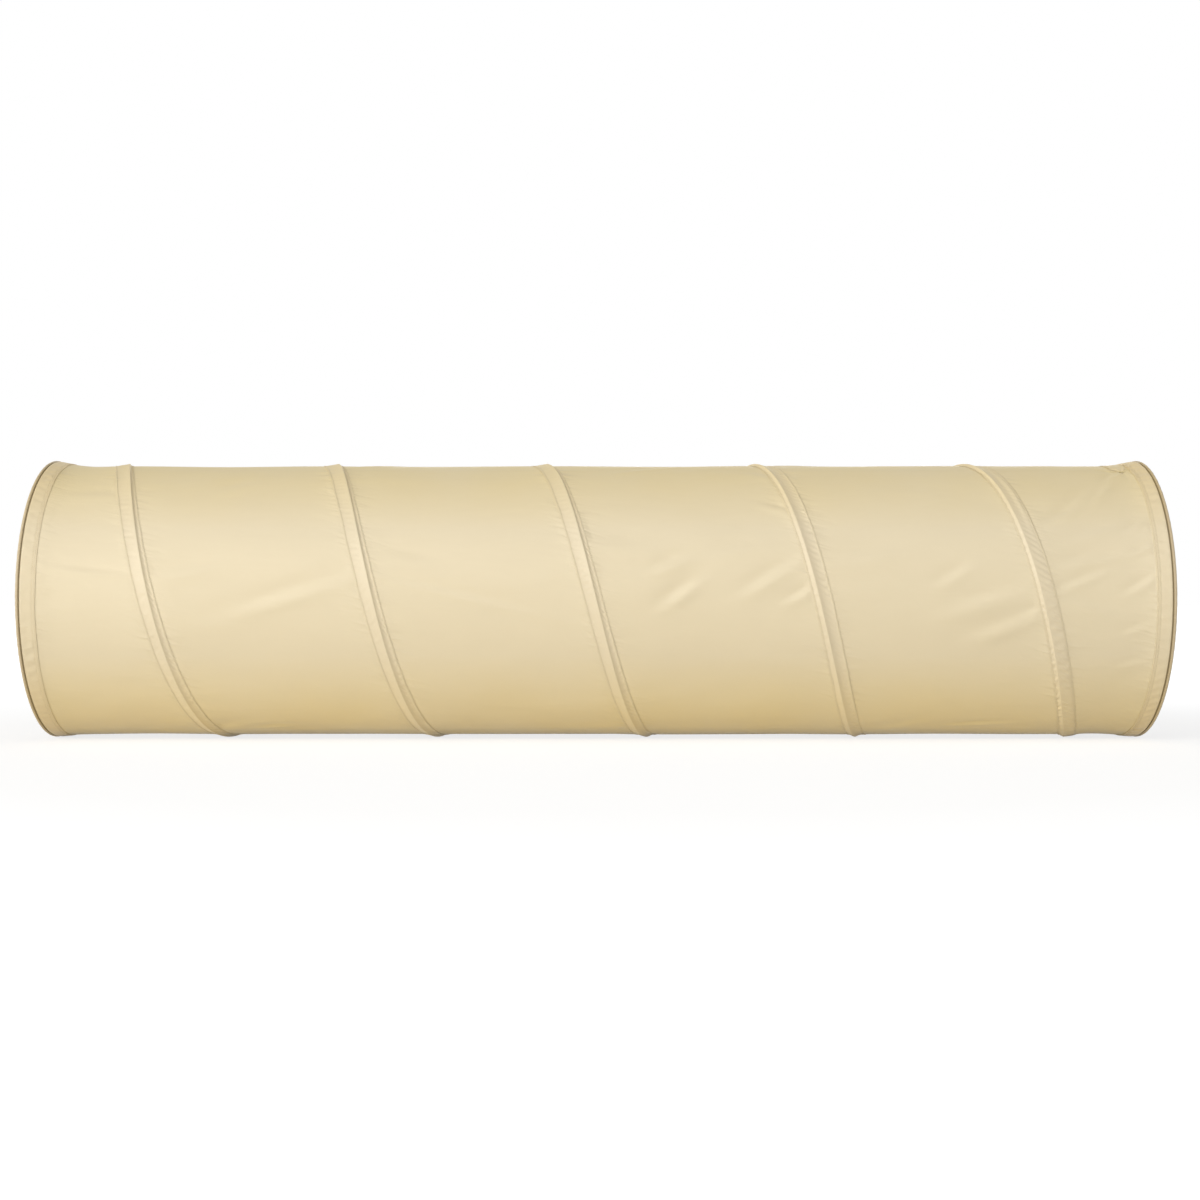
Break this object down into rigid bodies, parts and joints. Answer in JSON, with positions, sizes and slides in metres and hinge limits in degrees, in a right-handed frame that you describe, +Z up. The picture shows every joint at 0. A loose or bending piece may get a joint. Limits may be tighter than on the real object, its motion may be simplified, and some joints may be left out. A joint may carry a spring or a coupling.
{
  "type": "play tunnel",
  "caption": "Pop-up crawl-through tunnel: a round cloth tube held open by a sewn-in spiral of spring wire, with a wire hoop at each open end.",
  "frame": {"origin": "on the floor under the middle of the tunnel", "axes": "+X along the tunnel, from the end where the coil starts low at the back to the end where it stops at the back, just short of the top; +Z up; -Y is the side seen in the picture"},
  "size_m": [1.8, 0.46, 0.46],
  "materials": {
    "skin_cloth": "thin plain-woven polyester, soft sheen",
    "casing_cloth": "the same cloth as a sewn strip",
    "hem_cloth": "the same cloth, folded and stitched",
    "piping_cloth": "the same cloth, rolled tightly over the hoop",
    "spring_steel": "drawn spring steel wire",
    "crimp_steel": "plated, crimped",
    "cap_vinyl": "soft black vinyl"
  },
  "bodies": {
    "left_end": {"skin_bay_1": "skin_cloth", "coil_casing_bay_1": "casing_cloth", "coil_wire_bay_1": "spring_steel", "left_edge_piping": "piping_cloth", "left_hoop_wire": "spring_steel", "left_hoop_sleeve": "crimp_steel", "left_hem_band": "hem_cloth", "left_coil_end_cap": "cap_vinyl"},
    "turn_1": {"skin_bay_2": "skin_cloth", "coil_casing_bay_2": "casing_cloth", "coil_wire_bay_2": "spring_steel"},
    "turn_2": {"skin_bay_3": "skin_cloth", "coil_casing_bay_3": "casing_cloth", "coil_wire_bay_3": "spring_steel"},
    "turn_3": {"skin_bay_4": "skin_cloth", "coil_casing_bay_4": "casing_cloth", "coil_wire_bay_4": "spring_steel"},
    "turn_4": {"skin_bay_5": "skin_cloth", "coil_casing_bay_5": "casing_cloth", "coil_wire_bay_5": "spring_steel"},
    "turn_5": {"skin_bay_6": "skin_cloth", "coil_casing_bay_6": "casing_cloth", "coil_wire_bay_6": "spring_steel"},
    "right_end": {"right_edge_piping": "piping_cloth", "right_hoop_wire": "spring_steel", "right_hoop_sleeve": "crimp_steel", "right_hem_band": "hem_cloth", "right_coil_end_cap": "cap_vinyl"}
  },
  "joints": [
    {"name": "bay_1_fold", "type": "slide", "parent": "left_end", "child": "turn_1", "axis": [1, 0, 0], "range_m": [-0.0817, 0], "stiffness_N_per_m": 19, "springref_m": 0.0458, "deforming": ["skin_bay_1", "coil_casing_bay_1", "coil_wire_bay_1"]},
    {"name": "bay_2_fold", "type": "slide", "parent": "turn_1", "child": "turn_2", "axis": [1, 0, 0], "range_m": [-0.3388, 0], "stiffness_N_per_m": 8.7, "springref_m": 0.1, "deforming": ["skin_bay_2", "coil_casing_bay_2", "coil_wire_bay_2"]},
    {"name": "bay_3_fold", "type": "slide", "parent": "turn_2", "child": "turn_3", "axis": [1, 0, 0], "range_m": [-0.3388, 0], "stiffness_N_per_m": 8.7, "springref_m": 0.1, "deforming": ["skin_bay_3", "coil_casing_bay_3", "coil_wire_bay_3"]},
    {"name": "bay_4_fold", "type": "slide", "parent": "turn_3", "child": "turn_4", "axis": [1, 0, 0], "range_m": [-0.3388, 0], "stiffness_N_per_m": 8.7, "springref_m": 0.1, "deforming": ["skin_bay_4", "coil_casing_bay_4", "coil_wire_bay_4"]},
    {"name": "bay_5_fold", "type": "slide", "parent": "turn_4", "child": "turn_5", "axis": [1, 0, 0], "range_m": [-0.3388, 0], "stiffness_N_per_m": 8.7, "springref_m": 0.1, "deforming": ["skin_bay_5", "coil_casing_bay_5", "coil_wire_bay_5"]},
    {"name": "bay_6_fold", "type": "slide", "parent": "turn_5", "child": "right_end", "axis": [1, 0, 0], "range_m": [-0.2545, 0], "stiffness_N_per_m": 9.08, "springref_m": 0.0958, "deforming": ["skin_bay_6", "coil_casing_bay_6", "coil_wire_bay_6"]}
  ]
}
